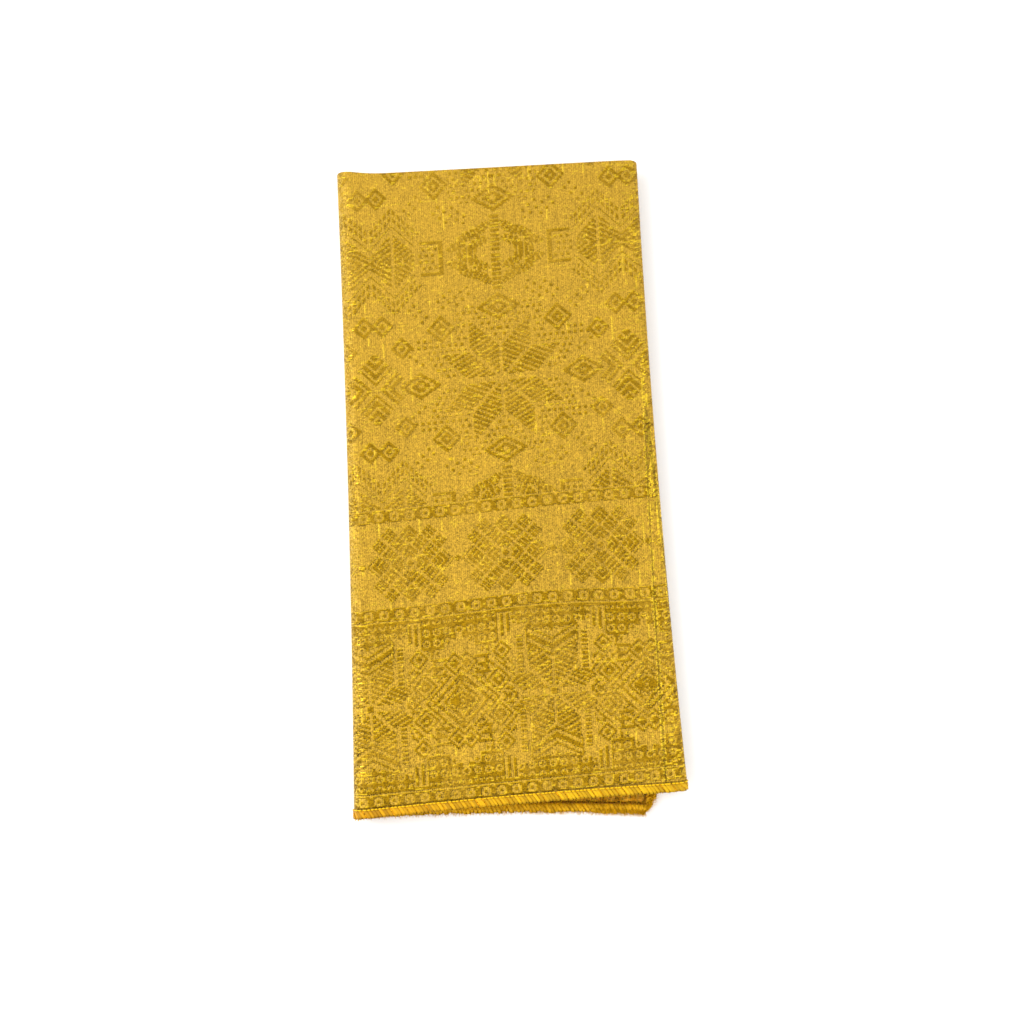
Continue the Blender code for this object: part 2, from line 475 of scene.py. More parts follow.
weave_over, weave_up = weave_place(point_across, point_along)
print("weave runs from", round(weave_over.min(), 3), "to", round(weave_over.max(), 3))

# %% Drift, and the two UV maps
# Real cloth is never quite square: the pattern drifts up or down a little, here and there.
Drift = namedtuple("Drift", "x y reach amount")
DRIFTS = (Drift(8, -42, 30, -1.3), Drift(50, -48, 22, 1.2), Drift(-25, 60, 35, 0.8), Drift(20, 20, 30, -0.6))
flat_x, flat_y, flat_z = folded_points.T / MM
for drift in DRIFTS:
    away = ((flat_x - drift.x) ** 2 + (flat_y - drift.y) ** 2) / drift.reach ** 2
    weave_up = weave_up + drift.amount * MM * np.exp(-away)
edge_up = np.minimum(point_along, ALONG_WHOLE - point_along)
edge_side = np.minimum(point_across, ACROSS_WHOLE - point_across)


def clear_uvs(mesh):
    while mesh.uv_layers:
        mesh.uv_layers.remove(mesh.uv_layers[0])


def add_uv(mesh, name, u, v):
    """A UV map from two numbers for each point."""
    layer = mesh.uv_layers.new(name=name)
    corner = np.empty(len(mesh.loops), dtype=np.int32)
    mesh.loops.foreach_get("vertex_index", corner)
    layer.data.foreach_set("uv", np.stack([u[corner], v[corner]], axis=-1).ravel())


clear_uvs(cloth.data)
add_uv(cloth.data, "weave", weave_over, weave_up)
add_uv(cloth.data, "edges", edge_side, edge_up)
print("UV maps:", [layer.name for layer in cloth.data.uv_layers])


# %% Give the sheet its thickness
def triangles(piece):
    return sum(len(face.vertices) - 2 for face in piece.data.polygons)


wall = cloth.modifiers.new("cloth_thickness", "SOLIDIFY")
wall.thickness = CLOTH_THICK
wall.offset = 0.0
wall.use_even_offset = True
wall.use_rim = True
bpy.ops.object.modifier_apply(modifier=wall.name)
cloth.data.shade_smooth()
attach(cloth, "root")
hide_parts("napkin")
print("cloth triangles:", triangles(cloth))

# %% [markdown]
# ## One page for baking
#
# A baker paints the finished colours into one square picture. For that it needs a UV map in which no two
# faces share a place. We cut the sheet into islands. The top panel and its side folds are seen best, so they
# get half of the page. The underside gets a sixth, and the hidden layers share what is left. The rim round
# the sheet becomes four thin strips.

# %% Cut the sheet into islands
Island = namedtuple("Island", "left low wide high across_from across_to along_from along_to")
PAGE = 1024
FRONT_LONG = LAYER_LONG + TOP_FOLD_LONG
TOP_END = STRETCH_ENDS[3]
TOP_ISLAND = Island(8, 10, 530, 1003, UNDERSIDE_WIDE, TOP_END, 0, FRONT_LONG)
UNDERSIDE_ISLAND = Island(550, 10, 258, 616, 0, UNDERSIDE_WIDE, 0, FRONT_LONG)
INNER_ISLAND = Island(820, 10, 195, 217, TOP_END, ACROSS_WHOLE, 0, FRONT_LONG)
BACK_ISLAND = Island(550, 640, 400, 205, 0, ACROSS_WHOLE, FRONT_LONG, ALONG_WHOLE)
INSIDE_ISLAND = Island(820, 240, 195, 210, 0, ACROSS_WHOLE, 0, ALONG_WHOLE)
RIM_LEFT, RIM_WIDE, RIM_LOW, RIM_STEP, RIM_HIGH = 550, 440, 860, 12, 6

sheet_points = len(point_across)
sheet_faces = (len(columns) - 1) * (len(rows) - 1)
corner_point = np.empty(len(cloth.data.loops), dtype=np.int32)
cloth.data.loops.foreach_get("vertex_index", corner_point)
corner_point = corner_point.reshape(-1, 4)
corner_across = point_across[corner_point % sheet_points]
corner_along = point_along[corner_point % sheet_points]
shell_of = np.arange(len(corner_point)) // sheet_faces
near_middle = abs(point_across - (UNDERSIDE_WIDE + TOP_END) / 2) + abs(point_along - LAYER_LONG / 2)
middle = int(np.argmin(near_middle))
outer_shell = int(cloth.data.vertices[middle].co.z < cloth.data.vertices[middle + sheet_points].co.z)
print("faces:", len(corner_point), "of which in the rim:", len(corner_point) - 2 * sheet_faces)

# %% Lay the islands on the page
page_u = np.empty(corner_point.shape)
page_v = np.empty(corner_point.shape)


def lay(faces, island):
    """Lays some faces of the flat sheet on the page, inside their island."""
    over_share = (corner_across[faces] - island.across_from) / (island.across_to - island.across_from)
    up_share = (corner_along[faces] - island.along_from) / (island.along_to - island.along_from)
    page_u[faces] = (island.left + island.wide * over_share) / PAGE
    page_v[faces] = (island.low + island.high * up_share) / PAGE


face_across = corner_across.mean(axis=1)
is_outer = shell_of == outer_shell
is_front_layer = corner_along.mean(axis=1) < FRONT_LONG
lay(is_outer & is_front_layer & (face_across < UNDERSIDE_WIDE), UNDERSIDE_ISLAND)
lay(is_outer & is_front_layer & (face_across > UNDERSIDE_WIDE) & (face_across < TOP_END), TOP_ISLAND)
lay(is_outer & is_front_layer & (face_across > TOP_END), INNER_ISLAND)
lay(is_outer & ~is_front_layer, BACK_ISLAND)
lay(shell_of == 1 - outer_shell, INSIDE_ISLAND)
strips = (corner_along == 0, corner_along == rows[-1], corner_across == 0, corner_across == columns[-1])
for number, on_edge in enumerate(strips):
    faces = (shell_of >= 2) & on_edge.all(axis=1)
    run = corner_across[faces] / ACROSS_WHOLE if number < 2 else corner_along[faces] / ALONG_WHOLE
    page_u[faces] = (RIM_LEFT + RIM_WIDE * run) / PAGE
    page_v[faces] = (RIM_LOW + RIM_STEP * number + RIM_HIGH * (corner_point[faces] >= sheet_points)) / PAGE
page = cloth.data.uv_layers.new(name="OFBake")
page.data.foreach_set("uv", np.stack([page_u, page_v], axis=-1).ravel())
page_all = np.stack([page_u, page_v])
print("page from", round(float(page_all.min()), 3), "to", round(float(page_all.max()), 3))

# %% [markdown]
# ## The overlocked hem
#
# An overlock machine sews the raw edge and wraps it at once. A needle thread runs in a line about 3 mm in
# from the edge. Looper threads start there, lie slantwise over the cloth, go round the edge and come back
# below. Seen from above this is a row of fat slanting strands with a thin line of short stitches on top.
#
# We model one stitch flat on the bench: x runs along the hem, y is the distance in from the edge, and z is
# the height over the middle of the cloth. A flat ring is extruded towards the edge, spun half a turn round
# it, and extruded back below.

# %% One stitch
STITCH_PITCH = 1.27 * MM
NEEDLE_LINE = 2.9 * MM
STRAND_WIDE = 1.36 * MM
STRAND_HIGH = 0.26 * MM
STRAND_SLANT = 1.7 * MM
STRAND_RISES = (0.08, 0.02, -0.10)
WRAP_AXIS = 0.15 * MM
STEP_BACK = 0.45
STRAND_LIFT = CLOTH_THICK / 2 + 0.4 * STRAND_HIGH
ORIGIN = (0, 0, 0)


def edit_all(piece):
    """Opens a piece in edit mode, with all of it selected."""
    pick(piece)
    bpy.ops.object.mode_set(mode="EDIT")
    bpy.ops.mesh.select_all(action="SELECT")


def point_outwards(piece):
    """Turns the faces of a closed piece outwards."""
    edit_all(piece)
    bpy.ops.mesh.normals_make_consistent(inside=False)
    bpy.ops.object.mode_set(mode="OBJECT")


def push(x, y, z):
    """Extrudes the selected end of the strand by a step."""
    bpy.ops.mesh.extrude_region_move(TRANSFORM_OT_translate={"value": (x, y, z)})


pick()
bpy.ops.mesh.primitive_circle_add(
    vertices=6, radius=STRAND_WIDE / 2, fill_type="NGON", rotation=(math.pi / 2, 0, 0)
)
bpy.ops.object.transform_apply(location=True, rotation=True, scale=True)
stitch = bpy.context.active_object
stitch.name = "overlock_stitch"
edit_all(stitch)
bpy.ops.transform.resize(value=(1, 1, STRAND_HIGH / STRAND_WIDE), center_override=ORIGIN)
bpy.ops.transform.translate(value=(0, NEEDLE_LINE, STRAND_LIFT))
reach = NEEDLE_LINE - WRAP_AXIS
for rise in STRAND_RISES:
    push(STRAND_SLANT / 3, -reach / 3, rise * MM)
bpy.ops.mesh.spin(steps=4, angle=math.pi, center=(0, WRAP_AXIS, 0), axis=(1, 0, 0))
for number in range(2):
    push(STRAND_SLANT / 6, reach * STEP_BACK, 0)
bpy.ops.object.mode_set(mode="OBJECT")
point_outwards(stitch)
strand = points_of(stitch.data) / MM
print("strand in mm from", np.round(strand.min(axis=0), 2), "to", np.round(strand.max(axis=0), 2))

# %% The needle thread's short stitch on top of it
NEEDLE_SIZE = (0.66, 0.3, 0.24)
NEEDLE_AT = (0, NEEDLE_LINE + 0.08 * MM, CLOTH_THICK / 2 + 0.24 * MM)
pick()
bpy.ops.mesh.primitive_ico_sphere_add(subdivisions=1, radius=1 * MM)
needle_stitch = bpy.context.active_object
NEEDLE_POINTS = len(needle_stitch.data.vertices)
edit_all(needle_stitch)
bpy.ops.transform.resize(value=NEEDLE_SIZE, center_override=ORIGIN)
bpy.ops.transform.translate(value=NEEDLE_AT)
bpy.ops.object.mode_set(mode="OBJECT")
pick(stitch, needle_stitch)
bpy.ops.object.join()
bpy.ops.object.shade_smooth()
STITCH_POINTS = len(stitch.data.vertices)
print("one stitch:", STITCH_POINTS, "points,", len(stitch.data.polygons), "faces")

# %% [markdown]
# The four hems aren't alike. The lower ones were rubbed, so their stitches hang looser. Their yarn is also
# more orange. In `Hem`, `loose` is how far a stitch may stand out in millimetres, `orange` how orange its
# yarn is, `needle` the tone of the needle thread, and `paler` paints light onto the strands, most on the back
# and start side hems, which lie in shade.

# %% Rows of stitches for the four hems
Hem = namedtuple("Hem", "name long loose orange needle paler")
HEMS = (
    Hem("front", ACROSS_WHOLE, 0.4, 0.0, -0.8, 0.1),
    Hem("back", ACROSS_WHOLE, 1.1, 0.25, 0.8, 0.45),
    Hem("start_side", ALONG_WHOLE, 1.0, 0.3, 0.8, 0.4),
    Hem("end_side", ALONG_WHOLE, 0.3, 0.5, 0.5, 0.0),
)
dice = np.random.default_rng(7)


def throw(low, high, count, owner):
    """One throw of the dice for each of the copies, given to every point of that copy."""
    return dice.uniform(low, high, count)[owner]


def repeat(piece, count, step):
    """Copies a piece along X, all copies in its own mesh."""
    pick(piece)
    copies = piece.modifiers.new("copies", "ARRAY")
    copies.count = count
    copies.use_relative_offset = False
    copies.use_constant_offset = True
    copies.constant_offset_displace = (step, 0, 0)
    bpy.ops.object.modifier_apply(modifier=copies.name)


def stitch_row(hem):
    """A straight row of stitches, still flat, one for each step of the machine."""
    pick(stitch)
    bpy.ops.object.duplicate()
    row_object = bpy.context.active_object
    row_object.name = hem.name + "_hem_stitches"
    count = round(hem.long / STITCH_PITCH)
    repeat(row_object, count, hem.long / count)
    return row_object, count


def onto_hem(hem, x, y):
    """From the bench to the flat cloth: across and along."""
    if hem.name == "front":
        return x, y
    if hem.name == "back":
        return ACROSS_WHOLE - x, ALONG_WHOLE - y
    if hem.name == "start_side":
        return y, ALONG_WHOLE - x
    return ACROSS_WHOLE - y, x


print("stitches:", [round(hem.long / STITCH_PITCH) for hem in HEMS])

# %% Sew them on: move every stitch by the folding rule
TABLE_CLEAR = 0.03 * MM
END_CLEAR = 0.2 * MM
SLIDE = 0.26
PUFF = (0.88, 1.15)
RUBBED_LOOSE = 0.9
ORANGE_SHARES = (0.6, 0.0)
STRAND_TURN = 0.55
TURNS_YELLOW = UNDERSIDE_WIDE + math.pi * OUTER_FOLD_RADIUS + np.array((0.0, 0.6)) * PANEL_WIDE


def on_table(places):
    """Lifts what would lie below the table."""
    places[:, 2] = np.maximum(places[:, 2], TABLE_CLEAR)
    return places


stitch_rows = []
for hem in HEMS:
    row_object, count = stitch_row(hem)
    x, y, z = points_of(row_object.data).T
    number = np.arange(len(x)) // STITCH_POINTS
    slide = throw(-SLIDE, SLIDE, count, number) * MM
    from_start = (number + 0.5) / count * hem.long
    is_rubbed = (hem.name == "front") & (from_start < UNDERSIDE_WIDE)
    loose = throw(0, 1, count, number) * np.where(is_rubbed, RUBBED_LOOSE, hem.loose) * MM
    outward = np.clip(1 - y / NEEDLE_LINE, 0, 1.3) ** 2
    puff = throw(*PUFF, count, number)
    sewn_x = np.clip(x + slide, END_CLEAR, hem.long - END_CLEAR)
    across, along = onto_hem(hem, sewn_x, y - loose * outward)
    sewn = on_table(place(across, along, z * puff))
    row_object.data.vertices.foreach_set("co", sewn.ravel())
    strand_run = np.where(z > 0, NEEDLE_LINE - y, NEEDLE_LINE + y)
    strand_side = (x - number * (hem.long / count)) / STRAND_WIDE - strand_run / MM * STRAND_TURN
    add_uv(row_object.data, "strand", strand_run, strand_side * STRAND_WIDE)
    is_needle = np.arange(len(x)) % STITCH_POINTS >= STITCH_POINTS - NEEDLE_POINTS
    # paler paints light: it lightens the strands of the hems that lie in shade.
    chance = throw(0, 1, count, number) - hem.paler
    orange = np.interp(from_start, TURNS_YELLOW, ORANGE_SHARES) if hem.name == "front" else hem.orange
    add_uv(row_object.data, "tone", *(np.where(is_needle, hem.needle, tone) for tone in (chance, orange)))
    stitch_rows.append(row_object)
print("rows:", [row_object.name for row_object in stitch_rows])

# %% Join the rows and put the bench piece away
bpy.data.objects.remove(stitch)
pick(*stitch_rows)
bpy.ops.object.join()
stitching = bpy.context.active_object
stitching.name = "hem_stitching"
point_outwards(stitching)
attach(stitching, "root")
print("stitching triangles:", triangles(stitching))

# %% [markdown]
# ## Loose fibres
#
# Cut cloth frays a little between the stitches, most of all at the lower hems, which were rubbed when the
# napkin was folded. One fibre is a thin three-sided spike. It is copied along the hems, and each copy gets
# its own length, lean and curl from seeded dice.

# %% One fibre and its copies
FIBRE_LONG = 1.0 * MM
FIBRE_THICK = 0.11 * MM
FIBRE_TIP = 0.02 * MM
# low and high are shares of the hem's length. long is in millimetres, and so is inside, how far in from the
# edge a fibre may start.
Fray = namedtuple("Fray", "hem low high count long inside")
FRAYS = (
    Fray(HEMS[1], 0.75, 1.0, 1000, 1.6, 0.5),
    Fray(HEMS[1], 0.95, 1.0, 300, 1.8, 1.0),
    Fray(HEMS[1], 0.75, 1.0, 500, 1.5, 4.5),
    Fray(HEMS[0], 0.28, 0.5, 300, 0.6, 0.2),
    Fray(HEMS[0], 0.0, 0.25, 420, 1.2, 0.2),
    Fray(HEMS[2], 0.0, 0.03, 300, 1.8, 2.0),
    Fray(HEMS[2], 0.95, 1.0, 150, 1.4, 0.2),
    Fray(HEMS[3], 0.0, 0.1, 60, 0.9, 0.2),
)
pick()
bpy.ops.mesh.primitive_cone_add(
    vertices=3, radius1=FIBRE_THICK, radius2=FIBRE_TIP, depth=FIBRE_LONG, location=(0, 0, FIBRE_LONG / 2)
)
fibre = bpy.context.active_object
fibre.name = "hem_fibres"
edit_all(fibre)
bpy.ops.mesh.bisect(plane_co=(0, 0, FIBRE_LONG * 0.5), plane_no=(0, 0, 1))
bpy.ops.object.mode_set(mode="OBJECT")
bpy.ops.object.transform_apply(location=True, rotation=True, scale=True)
FIBRE_POINTS = len(fibre.data.vertices)
fibre_count = sum(fray.count for fray in FRAYS)
repeat(fibre, fibre_count, 0)
print("fibres:", fibre_count, "of", FIBRE_POINTS, "points each")

# %% Lay the fibres along the hems
LENGTHS = (0.4, 1.3)
LEANS = (-0.8, 0.8)
HEIGHTS = (-0.5, 0.6)
CURLS = (-0.3, 0.7)
FIBRE_TONES = (-0.2, 0.6)
FIBRE_ORANGE = 0.2
# A fibre whose root is this far inside the edge, in millimetres, starts on top of the cloth.
WELL_INSIDE, ON_TOP = 0.5, 0.75
bench = points_of(fibre.data)
laid = np.empty_like(bench)
fibre_tone = np.empty(len(bench))
first = 0
for fray in FRAYS:
    count = fray.count
    last = first + count * FIBRE_POINTS
    thick_x, thick_z, run = bench[first:last].T
    each = np.arange(last - first) // FIBRE_POINTS
    run = run * (fray.long * throw(*LENGTHS, count, each))
    lean = throw(*LEANS, count, each)
    start = throw(fray.low, fray.high, count, each) * fray.hem.long
    inside = dice.uniform(0, fray.inside, count)
    height = np.where(inside > WELL_INSIDE, ON_TOP, dice.uniform(*HEIGHTS, count))[each] * MM
    curl = throw(*CURLS, count, each)
    across, along = onto_hem(fray.hem, start + thick_x + lean * run, 0.2 * MM + inside[each] * MM - run)
    laid[first:last] = on_table(place(across, along, height + thick_z + curl * run))
    fibre_tone[first:last] = throw(*FIBRE_TONES, count, each)
    first = last
fibre.data.vertices.foreach_set("co", laid.ravel())
clear_uvs(fibre.data)
add_uv(fibre.data, "strand", bench[:, 2], bench[:, 0])
add_uv(fibre.data, "tone", fibre_tone, np.full(len(bench), FIBRE_ORANGE))
point_outwards(fibre)
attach(fibre, "root")
print("fibre triangles:", triangles(fibre))

# %% [markdown]
# ## The weaver's chart
#
# A brocade is planned on squared paper. Each square is one crossing of threads, and a marked square is a
# place where the shiny pattern thread lies on top. Shapes on such paper have steps for edges, and that is
# what makes the stars and lozenges look woven and not printed.
#
# We draw the chart with rules: a star, a lozenge, a row of dots. Each part of the napkin mirrors its own
# small block: a chain of rings, the dense border, a band of feathered medallions, and the open field.


# %% A sheet of squared paper
class Chart:
    """Squared paper, the top right quarter of a mirrored block. Numbers are squares, from its centre."""

    def __init__(self, wide, high):
        self.over, self.up = np.meshgrid(np.arange(wide) + 0.5, np.arange(high) + 0.5)
        self.marks = np.zeros((high, wide), dtype=bool)

    def mark(self, inside):
        self.marks |= inside

    def clear(self, inside):
        self.marks &= ~inside

    def block(self, left, low, wide, high):
        """The squares of an upright rectangle."""
        return (self.over > left) & (self.over < left + wide) & (self.up > low) & (self.up < low + high)

    def bar(self, left, low, wide, high):
        self.mark(self.block(left, low, wide, high))

    def hatched(self, slope=0.5, pitch=3.4):
        """Slanting stripes of thread, with narrow gaps between them."""
        return (self.up + slope * self.over) % pitch > 1.2

    def star(self, wide, long, flat_wide, flat_long):
        """One quarter of an eight-point star of hatched slanted petals, with clear lines between them."""
        over, up = self.over, self.up
        upright = (over > 1) & (over < wide) & (up > over + 1.5) & (up < over + long)
        sideways = (up > 1.5) & (up < flat_wide) & (over > up + 1.5) & (over < up + flat_long)
        self.mark((upright | sideways) & self.hatched())

    def away(self, over, up, half_wide, half_high):
        """How far each square is from a point, as a share of a lozenge round it."""
        return abs(self.over - over) / half_wide + abs(self.up - up) / half_high

    def lozenge(self, over, up, half_wide, half_high):
        """A lozenge: one dark ring inside another."""
        far = self.away(over, up, half_wide, half_high)
        deep = (1 - far) * min(half_wide, half_high)
        self.clear(far < 1.2)
        self.mark((deep > 0) & (deep < 2.6))
        self.mark((deep > 4.5) & (deep < 7.2))

    def leaf(self, over, up, slope):
        """A slanting leaf, fourteen squares long, with a few cross ribs."""
        along = (self.over - over) + slope * (self.up - up)
        across = (self.up - up) - slope * (self.over - over)
        inside = (along / 7) ** 2 + (across / 3) ** 2 < 1 + slope * slope
        self.mark(inside & (along % 3.6 > 0.9))

    def beads(self):
        """Square dots of two by two squares, each row set off against the next."""
        row_of = np.floor(self.up / 2)
        column_of = np.floor((self.over + row_of % 4) / 2)
        return (row_of % 2 == 0) & (column_of % 2 == 0)

    def bead_line(self, over, up, step_over, step_up, count):
        """A row of square dots."""
        for number in range(count):
            self.bar(over + number * step_over, up + number * step_up, 2, 2)

    def ringlets(self, inside, pitch=7):
        """Small clear rings on a dark ground."""
        self.mark(inside)
        far = np.hypot(self.over % pitch - pitch / 2, self.up % pitch - pitch / 2)
        self.clear(inside & (far > 1.2) & (far < 2.8))

    def halo(self, near, far):
        """A band of square dots round all that is marked so far."""
        nearest = np.full(self.marks.shape, np.inf)
        for row, column in zip(*np.nonzero(self.marks)):
            nearest = np.minimum(nearest, np.hypot(self.over - column - 0.5, self.up - row - 0.5))
        return (nearest < far) & ~(nearest < near) & self.beads()

    def print_share(self, name):
        print(name, "squares marked:", round(float(self.marks.mean()), 2))


def draw_all(rule, *places):
    """Draws the same figure at several places of a chart."""
    for numbers in places:
        rule(*numbers)


# %% The chain of rings
CHAIN_ROWS = 10
chain = Chart(CHAIN_ROWS, CHAIN_ROWS)
chain.bar(0, 1, 10, 8)
ring_far = np.hypot(chain.over - 5, chain.up - 5)
chain.clear((ring_far > 1.3) & (ring_far < 3.4))
chain.clear(((chain.over < 1) | (chain.over > 9)) & (abs(chain.up - 5) > 2.6))
chain.print_share("chain")

# %% The dense border
BORDER_HALF_WIDE = 60
BORDER_HALF_HIGH = 55
border = Chart(BORDER_HALF_WIDE, BORDER_HALF_HIGH)
border.star(16, 19, 14, 19)
border.mark(border.halo(2.6, 8.5))
border.ringlets((border.up > 38 + 0.3 * border.over) & (border.up < 53) & (border.over < 26))
border.clear(border.block(17, 13, 8, 26))
draw_all(border.bar, *((19, 14 + 2.7 * rung, 4, 1.6) for rung in range(9)))
border.clear(border.block(26, 38, 9, 15))
draw_all(border.bar, (27, 40, 2, 12), (31, 38, 2, 14))
stair = np.floor((border.over - 34) / 4) * 4
border.ringlets((border.over > 35) & (border.up > 24 + stair * 0.8) & (border.up < 53))
border.bar(36, 49, 24, 2)
between_stars = (border.over > 26) & (border.up < 24)
border.mark(between_stars & (np.floor(border.over + border.up) % 6 < 2) & border.beads())
border.mark(between_stars & (np.floor(border.over - border.up) % 6 < 2))
border.lozenge(36, 11, 9, 9)
heart = border.away(60, 0, 13, 12)
border.mark((heart < 1) & (heart % 0.34 > 0.12) & border.hatched(-0.5))
heart_frame = border.away(60, 0, 18, 17)
border.mark((heart_frame > 0.86) & (heart_frame < 1) & border.hatched(1.6, 3))
draw_all(border.lozenge, (56, 24, 8, 8), (33, 29, 7, 7))
draw_all(border.bar, (42, 16, 2, 12), (44, 16, 7, 2), (44, 21, 5, 2), (44, 26, 7, 2), (0, 53, 60, 2))
for lift in (25, 31):
    vee = abs(border.up - lift - 0.55 * border.over)
    border.mark((vee < 3) & (border.over < 17))
    border.clear((vee < 1.2) & (border.over < 16))
border.print_share("border")

# %% The band of feathered medallions
BAND_HALF_WIDE = 31
BAND_HALF_HIGH = 27
band = Chart(BAND_HALF_WIDE, BAND_HALF_HIGH)
from_rib = band.over - band.up
falling = band.over + band.up
in_arm = (abs(from_rib) > 1.2) & (abs(from_rib) < 11.5) & (falling < 38)
in_side_tip = (from_rib > 13) & (falling < 29)
in_top_tip = (from_rib < -13) & (falling < 26)
band.mark((in_arm | in_side_tip | in_top_tip) & (falling % 4.3 > 1.4))
band.clear((abs(from_rib) > 5) & (abs(from_rib) < 6.4) & (falling > 22))
band.clear(band.away(0, 0, 5, 5) < 1.1)
band.mark(band.away(0, 0, 3, 3) < 1)
band.mark(band.away(31, 0, 2.5, 2.5) < 1)
band.print_share("band")

# %% The open field
FIELD_HALF = 82
field = Chart(FIELD_HALF, FIELD_HALF)
field.star(20, 21, 19, 21)
field.mark(field.halo(2.9, 9.5) & (field.up > 3))
from_diamond = abs(field.over - 67) + abs(field.up - 81)
outside_key = (field.over > 53) | (field.up < 66)
beaded = np.floor(field.over) % 3 > 0
for low, high, kept in ((30.5, 33.5, beaded), (25.5, 28.5, beaded), (21, 23, True)):
    field.mark((from_diamond > low) & (from_diamond < high) & outside_key & kept)
field.mark((from_diamond < 18) & outside_key & field.hatched(-0.6) & (abs(field.over - 67) > 1.2))
from_side = 82 - field.over
feathered = np.floor(from_side + 100 - field.up) % 6 < 4
field.mark((abs(from_side) + field.up < 25) & feathered & (abs(from_side - field.up) > 2))
draw_all(field.lozenge, (0, 47, 15, 9), (53, 0, 14, 9), (38, 36, 10, 9), (64, 26, 8, 7), (76, 41, 8, 7))
draw_all(field.bead_line, (11, 67, 4, -3, 7), (14, 71, 4, -3, 7), (18, 56, 4, -3, 3), (46, 44, 4, 4, 3))
draw_all(field.bead_line, (49, 41, 4, 4, 3), (50, 13, 4, 3, 3), (44, 24, 4, 0, 4), (44, 28, 4, 0, 3))
field.clear((field.over < 31) & (field.up > 62))
draw_all(field.leaf, (9, 67, 0.9), (18, 70, 0.5), (11, 75, 0.4), (25, 76, 0.3), (18, 80, 0.2))
field.mark((field.over < 3) & (field.up > 58) & (field.up % 3 > 0.9))
draw_all(field.bar, (34, 71, 3, 11), (37, 71, 12, 2))
draw_all(field.bead_line, (38, 75, 4, 0, 3), (40, 79, 4, 0, 3))
field.print_share("field")

# %% [markdown]
# ## Shader sums written as Python
#
# The material works out for every spot which square of the chart it is in. That takes a lot of small sums,
# and sums are easier to read as `a * b + c` than as boxes. So a `Wire` stands for one output of a shader
# node, and adding or multiplying wires adds the Math node that does it.


# %% Wires
class Wire:
    """One output of a shader node. Sums with it add Math nodes."""

    def __init__(self, paint, socket):
        self.paint = paint
        self.socket = socket


def adds_math(operation, is_swapped=False):
    """The method that adds one kind of Math node. A reflected one, as in 1 - wire, swaps its two numbers."""

    def method(self, *other):
        values = (*other, self) if is_swapped else (self, *other)
        return self.paint.node("ShaderNodeMath", {"operation": operation}, dict(enumerate(values)))

    return method


OPERATIONS = {
    "add": "ADD", "sub": "SUBTRACT", "mul": "MULTIPLY", "truediv": "DIVIDE",
    "mod": "FLOORED_MODULO", "pow": "POWER", "gt": "GREATER_THAN", "lt": "LESS_THAN",
}
for name, operation in OPERATIONS.items():
    setattr(Wire, f"__{name}__", adds_math(operation))
    if name not in ("gt", "lt"):
        setattr(Wire, f"__r{name}__", adds_math(operation, is_swapped=True))
Wire.floor = adds_math("FLOOR")
Wire.sine = adds_math("SINE")
Wire.least = adds_math("MINIMUM")
Wire.most = adds_math("MAXIMUM")
print("sums with a wire:", ", ".join(OPERATIONS))


# %% Paints
class Paint:
    """A material with a Principled shader, and one way to add any node to it."""

    def __init__(self, name):
        self.material = bpy.data.materials.new(name)
        self.material.use_nodes = True
        self.tree = self.material.node_tree
        self.shader = self.tree.nodes["Principled BSDF"]

    def node(self, kind, settings=None, inputs=None, output=0):
        """Adds a node: first its settings or stops, then the values or wires of its sockets."""
        made = self.tree.nodes.new(kind)
        for name, value in (settings or {}).items():
            if name == "stops":
                self.set_stops(made.color_ramp, value)
            else:
                setattr(made, name, value)
        for socket, value in (inputs or {}).items():
            self.feed(made.inputs[socket], value)
        return Wire(self, made.outputs[output])

    def feed(self, socket, value):
        if isinstance(value, Wire):
            self.tree.links.new(value.socket, socket)
        else:
            socket.default_value = value

    def set_stops(self, ramp, stops):
        """Stops that hold their colour until the next one."""
        ramp.interpolation = "CONSTANT"
        while len(ramp.elements) > 1:
            ramp.elements.remove(ramp.elements[-1])
        for number, (position, colour) in enumerate(stops):
            stop = ramp.elements[0] if number == 0 else ramp.elements.new(position)
            stop.position = position
            stop.color = (*colour, 1)

    def mix(self, share, first, second):
        """A colour between two colours."""
        settings = {"data_type": "RGBA", "clamp_factor": True}
        return self.node("ShaderNodeMix", settings, {0: share, 6: first, 7: second}, output=2)

    def split(self, kind, value):
        """The parts of a colour or a place, as a list of wires."""
        made = self.node(kind, {}, {0: value}).socket.node
        return [Wire(self, output) for output in made.outputs]

    def uv(self, name):
        """The two numbers of a UV map."""
        return self.split("ShaderNodeSeparateXYZ", self.node("ShaderNodeUVMap", {"uv_map": name}))[:2]

    def point(self, x, y):
        return self.node("ShaderNodeCombineXYZ", {}, {0: x, 1: y, 2: 0.0})

    def cloud(self, x, y, detail=0.0):
        """Soft noise of about 0.5. Its patches are about 1 wide in x and in y."""
        inputs = {"Vector": self.point(x, y), "Scale": 1.0, "Detail": detail}
        return self.node("ShaderNodeTexNoise", {"noise_dimensions": "2D"}, inputs)

    def speckle(self, column, row):
        """A random number from 0 to 1 for each column and row."""
        spot = self.point(column, row)
        return self.node("ShaderNodeTexWhiteNoise", {"noise_dimensions": "2D"}, {"Vector": spot})

    def finish(self, colour, tone, relief, inputs):
        """Feeds the shader: a colour times its tone, a relief given as a Bump node's inputs, and the rest."""
        toned = self.node("ShaderNodeVectorMath", {"operation": "SCALE"}, {0: colour, "Scale": tone})
        bump = self.node("ShaderNodeBump", {}, relief)
        for name, value in {"Base Color": toned, "Normal": bump, **inputs}.items():
            self.feed(self.shader.inputs[name], value)


print("a paint can:", [name for name in vars(Paint) if not name.startswith("_")])


# %% Distances and colours
def apart(first, second):
    """How far two numbers are apart."""
    return (first - second).most(second - first)


def close_to(distance, reach):
    """1 where the distance is nothing, falling to 0 at the reach."""
    return 1 - (distance / reach).least(1.0)


